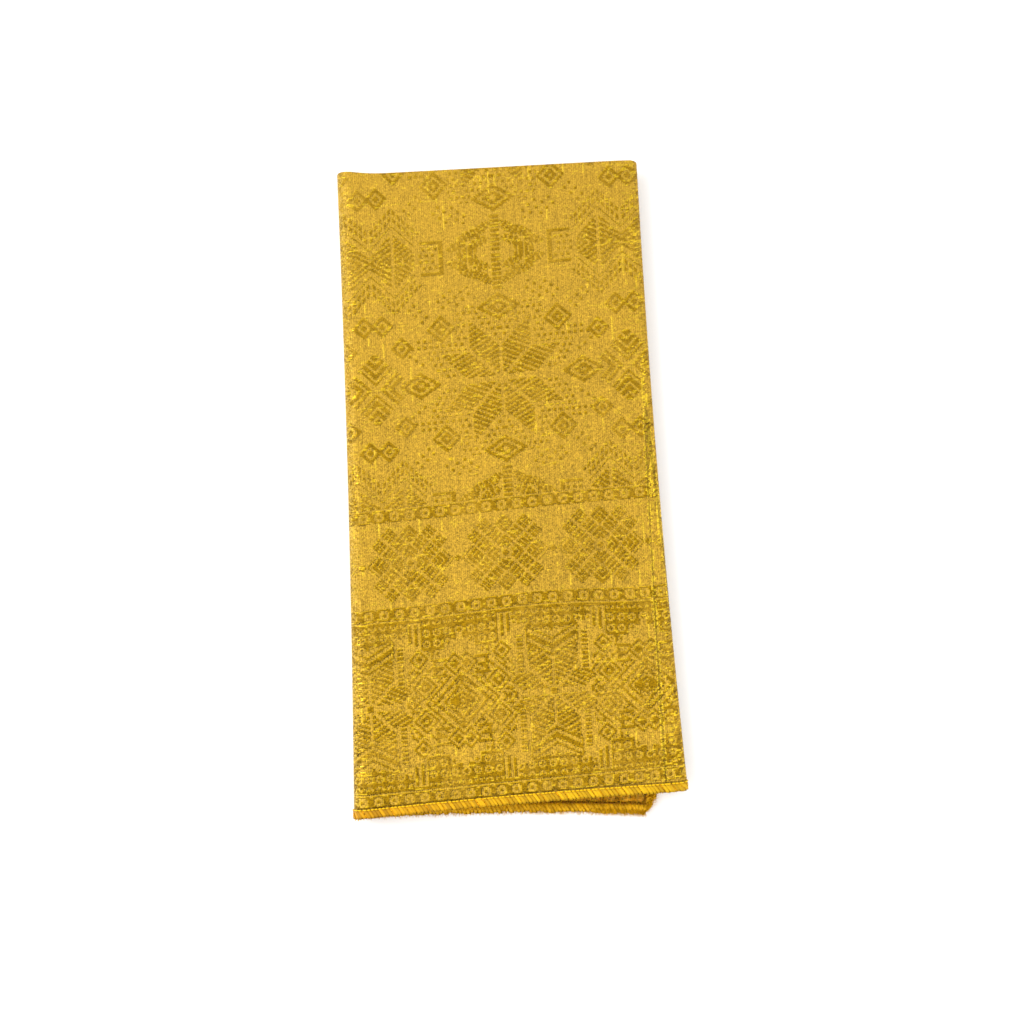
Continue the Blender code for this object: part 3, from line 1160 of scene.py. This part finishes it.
def srgb(red, green, blue):
    """A solid colour as a paint shop gives it, 0 to 255, as the renderer needs it."""
    parts = [part / 255 for part in (red, green, blue)]
    return (*(((part + 0.055) / 1.055) ** 2.4 if part > 0.04045 else part / 12.92 for part in parts), 1)


print("gold in linear light:", [round(part, 3) for part in srgb(220, 172, 75)])

# %% [markdown]
# ## Reading the chart in a shader
#
# A shader can't look a square up in a list, but a colour ramp with held stops is a short list: one stop for
# each row. A number can hold many squares at once. The first square of a row counts 1, the next 2, the next
# 4, and so on, so sixteen squares fit in one number below 65536. Red, green and blue each hold one such
# number, so a ramp of 32 stops holds 32 rows of 48 squares. Dividing by 2, 4, 8 and so on brings a square to
# the front, and the remainder by 2 says if it is marked.

# %% Stack the blocks in one tall chart
BLOCKS = (chain, border, band, field)
CHART_WIDE = 96
RAMP_ROWS = 32
BITS = 16
CHANNELS = 3
block_starts = np.cumsum([0] + [block.marks.shape[0] for block in BLOCKS])
chart_rows = int(math.ceil(block_starts[-1] / RAMP_ROWS)) * RAMP_ROWS
tall = np.zeros((chart_rows, CHART_WIDE), dtype=bool)
for block, begins in zip(BLOCKS, block_starts):
    high, wide = block.marks.shape
    tall[begins:begins + high, :wide] = block.marks
print("chart:", chart_rows, "rows of", CHART_WIDE, "squares")


# %% Read a square back from the ramps
def ramp_stops(first_row, first_square):
    """The stops of one ramp: a colour for each row, with sixteen squares in each of its three parts."""
    stops = []
    for number in range(RAMP_ROWS):
        colour = []
        for channel in range(CHANNELS):
            start = first_square + channel * BITS
            squares = tall[first_row + number, start:start + BITS]
            value = sum(2 ** place_of for place_of, marked in enumerate(squares) if marked)
            colour.append(value / 2 ** BITS)
        stops.append((number / RAMP_ROWS, colour))
    return stops


def read_chart(paint, square, row):
    """1 where the chart's square is marked, else 0."""
    reach = BITS * CHANNELS
    colours = []
    for first_square in range(0, CHART_WIDE, reach):
        colour = None
        for first_row in range(0, chart_rows, RAMP_ROWS):
            down = (row - first_row + 0.5) / RAMP_ROWS
            stops = ramp_stops(first_row, first_square)
            ramp = paint.node("ShaderNodeValToRGB", {"stops": stops}, {0: down})
            colour = ramp if colour is None else paint.mix(row > first_row - 0.5, colour, ramp)
        colours.append(colour)
    is_far = square > reach - 0.5
    red, green, blue = paint.split("ShaderNodeSeparateColor", paint.mix(is_far, *colours))
    square = square - is_far * reach
    is_green = square > BITS - 0.5
    is_blue = square > 2 * BITS - 0.5
    number = red * (1 - is_green) + green * (is_green - is_blue) + blue * is_blue
    square = square - (is_green + is_blue) * BITS
    return ((number * 2 ** BITS / 2 ** square).floor() % 2) > 0.5


print("ramps for one reading:", CHART_WIDE // (BITS * CHANNELS) * (chart_rows // RAMP_ROWS))

# %% Which square each spot of the napkin is in
SQUARE = 0.546 * MM
# The row at which each part of the napkin begins, counted up from the hem, and where its blocks are centred.
CHAIN_1, BORDER, CHAIN_2, BAND, CHAIN_3, FIELD = 4, 14, 124, 134, 188, 198
FIELD_CENTRE = 276
BORDER_STAR = 23
BAND_MEDAL = -4


def mirrored(count, start, half):
    """Folds a row or column number back and forth over a block that is mirrored at both ends."""
    around = (count - start) % (2 * half)
    return around.least(2 * half - 1 - around)


def chart_place(column, row):
    """The square and the row of the tall chart for a thread crossing of the napkin."""
    in_border = (row > BORDER - 0.5) - (row > CHAIN_2 - 0.5)
    in_band = (row > BAND - 0.5) - (row > CHAIN_3 - 0.5)
    in_field = row > FIELD - 0.5
    in_chain = 1 - in_border - in_band - in_field
    chain_row = (row - CHAIN_1 - (row > BAND) * (CHAIN_3 - CHAIN_1)) % CHAIN_ROWS
    border_row = mirrored(row, BORDER + BORDER_HALF_HIGH, BORDER_HALF_HIGH) + int(block_starts[1])
    band_row = mirrored(row, BAND + BAND_HALF_HIGH, BAND_HALF_HIGH) + int(block_starts[2])
    field_row = mirrored(row, FIELD_CENTRE, FIELD_HALF) + int(block_starts[3])
    chart_row = in_chain * chain_row + in_border * border_row + in_band * band_row + in_field * field_row
    square = in_chain * (column % CHAIN_ROWS)
    square = square + in_border * mirrored(column, BORDER_STAR, BORDER_HALF_WIDE)
    square = square + in_band * mirrored(column, BAND_MEDAL, BAND_HALF_WIDE)
    square = square + in_field * mirrored(column, 0, FIELD_HALF)
    return square, chart_row


print("above the hem in mm: border", round(BORDER * SQUARE / MM, 1), "field", round(FIELD * SQUARE / MM, 1))

# %% [markdown]
# ## The brocade
#
# The ground is a fine ribbed cloth in a warm mustard gold. The pattern thread is a deeper olive gold that
# floats over it, and a thin metal thread glints here and there: its glints are painted highlights. Nothing is
# painted on as a picture: each crossing gets its own small change of tone, each rib and each float its own
# streaks. Painted shade darkens the sides of every rib and every row of a float.
#
# A float stands a little above the ground. So the chart is read twice, once at the spot itself and once a
# little up and to the left. Where only the first finds thread, the spot is painted lighter, as the lit rim of
# a float. Where only the second does, it is painted darker, as the float's small shadow.

# %% The brocade's colours
GROUND = srgb(190, 149, 44)
FLOAT = srgb(150, 113, 0)
GLINT = srgb(236, 200, 48)
PALE_SHEEN = srgb(244, 222, 140)
THREAD = srgb(222, 156, 16)
SPECK_ORANGE = srgb(206, 132, 20)
FLOAT_HIGH = 0.22 * MM
RIB = 0.72 * MM
GRAIN = 0.36 * MM
RIM = 0.42
brocade = Paint("gold_brocade")
over, up = brocade.uv("weave")
edge_side_wire, edge_up_wire = brocade.uv("edges")
print("rim in mm:", round(RIM * SQUARE / MM, 2))

# %% The floats and their rims
# A cloud is given in patches for each metre. This one makes the edges of the squares wander.
WANDER, WANDER_PATCHES = 0.45, 1500.0
wander = brocade.cloud(over * WANDER_PATCHES, up * WANDER_PATCHES)
squares_over = over / SQUARE + (wander - 0.5) * WANDER
squares_up = up / SQUARE - (wander - 0.5) * WANDER
column = squares_over.floor()
row = squares_up.floor()
marked = read_chart(brocade, *chart_place(column, row))
rim_column = (squares_over - RIM).floor()
rim_row = (squares_up + RIM).floor()
behind = read_chart(brocade, *chart_place(rim_column, rim_row))
# Wear makes the pattern paler in soft patches, and towards the top fold.
FADE_ACROSS, FADE_ALONG, FADE_SPREAD, FADE_LEAST = 95.0, 75.0, 1.8, 0.6
fade = brocade.cloud(over * FADE_ACROSS, up * FADE_ALONG, 1.0)
strength = (fade * FADE_SPREAD - 0.05).most(FADE_LEAST).least(1.0) * (1.1 - up * 1.3)
float_here = marked * strength
# Painted light and shade: relief is lighter on the lit rim of a float and darker in its small shadow.
relief = (marked - behind) * strength
print("nodes with the charts:", len(brocade.tree.nodes))

# %% Ribs, streaks and flecks
STREAK_PATCHES, DASH_PATCHES, WIDE_PATCHES = 75.0, 330.0, 22.0
# Steps in the cloud that are large enough to make neighbours differ.
NEXT_RIB, NEXT_ROW = 1.7, 1.9
rib_number = (over / RIB).floor()
rib = ((over / RIB - rib_number) * math.pi).sine()
rib_streak = brocade.cloud(rib_number * NEXT_RIB, up * STREAK_PATCHES)
weft = ((squares_up - row) * math.pi).sine()
weft_streak = brocade.cloud(over * DASH_PATCHES, row * NEXT_ROW)
fleck = brocade.speckle(column, row)
grain = brocade.speckle((over / GRAIN).floor(), (up / GRAIN).floor())
wide_tone = brocade.cloud(over * WIDE_PATCHES, up * WIDE_PATCHES, 2.0)
print("nodes with ribs and flecks:", len(brocade.tree.nodes))

# %% [markdown]
# Near the folds more glints are painted on as highlights, where the bent cloth catches the light, and the
# left fold, which catches the lamp, gets a pale painted sheen. Along the right side runs a thin painted
# shadow, set with painted highlights. The bottom panel, where it looks out below the front hem, has orange
# specks.

# %% Folds, painted crease shadow and glints
NEAR_FOLD = 9 * MM
NEAR_LEFT = 6 * MM
LEFT_FOLD_AT = UNDERSIDE_WIDE + math.pi * OUTER_FOLD_RADIUS / 2
CREASE_AT = 4.4 * MM
CREASE_LEAN = 0.03
CREASE_SHADOW_REACH = 0.3 * MM
CREASE_HIGHLIGHT_REACH = 0.8 * MM
SLUB_FROM = 0.83
DASH_FROM = 0.74
SPECK_REACH = 10 * MM

from_left = apart(edge_side_wire, LEFT_FOLD_AT)
from_right = ACROSS_WHOLE / 2 - edge_side_wire
near_fold = close_to(from_left.least(from_right), NEAR_FOLD)
from_crease = apart(from_right, CREASE_AT - up * CREASE_LEAN)
# Painted shadow and highlight along the right fold: a thin dark line, with bright specks beside it.
painted_crease_shadow = (from_crease < CREASE_SHADOW_REACH) * (fleck > 0.2)
crease_highlight = (from_crease < CREASE_HIGHLIGHT_REACH) * (fleck > 0.6)
# Near the folds more slubs and dashes glint: painted highlights where the bent cloth catches the light.
slub = (rib_streak > SLUB_FROM - near_fold * 0.07) * (1 - marked)
dash = (weft_streak > DASH_FROM - near_fold * 0.15) * (0.4 + marked * 0.25)
# glint gathers painted highlights of the metal thread: on weft dashes and slubs, on the lit rims of floats,
# beside the crease.
glint = dash.most(slub * 0.6).most((relief > 0.4) * 0.3).most(crease_highlight)
# Orange specks near the hems, in the stretch of cloth from either side hem as wide as the bottom panel.
orange_specks = (edge_side_wire < UNDERSIDE_WIDE * 0.97) * close_to(edge_up_wire, SPECK_REACH) * (grain > 0.3)
print("the crease is", round(CREASE_AT / MM, 1), "mm in from the right fold at the hem")

# %% Put the brocade together
HEM_BAND = 3.0 * MM
DENT_AT = 3.45 * MM
DENT_WIDE = 0.5 * MM
PLAIN_TONE, MIDDLE_TONE, HEM_TONE, HEM_CONTRAST = 0.78, 0.88, 0.905, 1.3
CREASE_SHADE, DENT_SHADE, WHOLE_SHADE = 0.45, 0.45, 0.91
# How much each part lightens and darkens the thread. The rib and weft sines are painted shade, darker at the
# sides of each rib and of each row of a float; the streaks are the yarn's own tone.
ground_tone = rib * 0.16 + (rib_streak - 0.5) * 0.25
float_tone = weft * 0.24 + (weft_streak - 0.5) * 0.5
tone = PLAIN_TONE + ground_tone * (1 - marked) + float_tone * marked
# The relief term paints the floats' lit rims and small shadows into the tone.
tone = tone + (fleck - 0.5) * 0.32 + (grain - 0.5) * 0.48 + relief * 0.34 + (wide_tone - 0.5) * 0.14
# Towards the top fold the cloth gets a little darker and its contrast softer.
tone = HEM_TONE - up * 0.17 + (tone - MIDDLE_TONE) * (HEM_CONTRAST - up * 2.6)
from_edge = edge_up_wire.least(edge_side_wire)
# A line pressed in just above the hem band, and painted shadow there, where the stitches shade the cloth.
dent_and_shadow = close_to(apart(from_edge, DENT_AT), DENT_WIDE)
tone = tone * (1 - painted_crease_shadow * CREASE_SHADE) * (1 - dent_and_shadow * DENT_SHADE) * WHOLE_SHADE
base = brocade.mix(float_here, GROUND, FLOAT)
# Painted highlights: the glints are mixed towards the bright GLINT colour.
base = brocade.mix(glint * 0.6, base, GLINT)
# Painted sheen: pale specks near the left fold, where it catches the lamp.
base = brocade.mix(close_to(from_left, NEAR_LEFT) * (fleck > 0.5) * 0.2, base, PALE_SHEEN)
base = brocade.mix(orange_specks, base, SPECK_ORANGE)
base = brocade.mix(from_edge < HEM_BAND, base, THREAD)
height = float_here * 0.8 + rib * (1 - marked) * 0.35 + weft * marked * 0.25 + fleck * 0.2 - dent_and_shadow * 2.0
brocade.finish(base, tone, {"Strength": 0.9, "Distance": FLOAT_HIGH, "Height": height}, {
    "Roughness": 0.6 - marked * 0.1 - glint * 0.2,
    "Metallic": 0.12 + marked * 0.2 + glint * 0.4,
    "Specular IOR Level": 0.1,
})
cloth.data.materials.append(brocade.material)
print("nodes in the brocade:", len(brocade.tree.nodes))

# %% [markdown]
# ## The thread
#
# The hem is sewn with a brighter, smoother yarn than the cloth, an egg-yolk yellow that is more orange in
# the lower hems. A yarn is twisted, so fine slanting lines run round each strand. They are drawn with a sine
# over the strand's own UV map, pressed in with a Bump node, and darkened towards DEEP as painted shade in
# their grooves.

# %% The thread's paint
YELLOW = srgb(222, 174, 0)
ORANGE = srgb(206, 138, 0)
DEEP = srgb(140, 84, 2)
TWIST = 0.42 * MM
SEAM_REACH = 0.9 * MM
thread = Paint("overlock_thread")
run, side = thread.uv("strand")
chance, orange = thread.uv("tone")
twist = ((run * 0.8 + side * 1.6) * (2 * math.pi / TWIST)).sine() * 0.5 + 0.5
yarn = thread.mix(orange, YELLOW, ORANGE)
# Painted shade: the twist's grooves are mixed towards DEEP; chance adds each stitch's own darker tone.
yarn = thread.mix((1 - twist) * 0.25 + (chance - 0.45) * 0.5, yarn, DEEP)
# Painted shade: the strands are darker where they come out from under the needle line.
seam_shade = close_to(run, SEAM_REACH) * (chance > 0)
shade = (0.98 - chance * 0.24) * (1 - seam_shade * 0.32)
thread.finish(yarn, shade, {"Strength": 0.6, "Distance": 0.05 * MM, "Height": twist}, {
    "Roughness": 0.5 + chance * 0.1,
    "Specular IOR Level": 0.22,
})
for piece in (stitching, fibre):
    piece.data.materials.clear()
    piece.data.materials.append(thread.material)
print("nodes in the thread:", len(thread.tree.nodes))
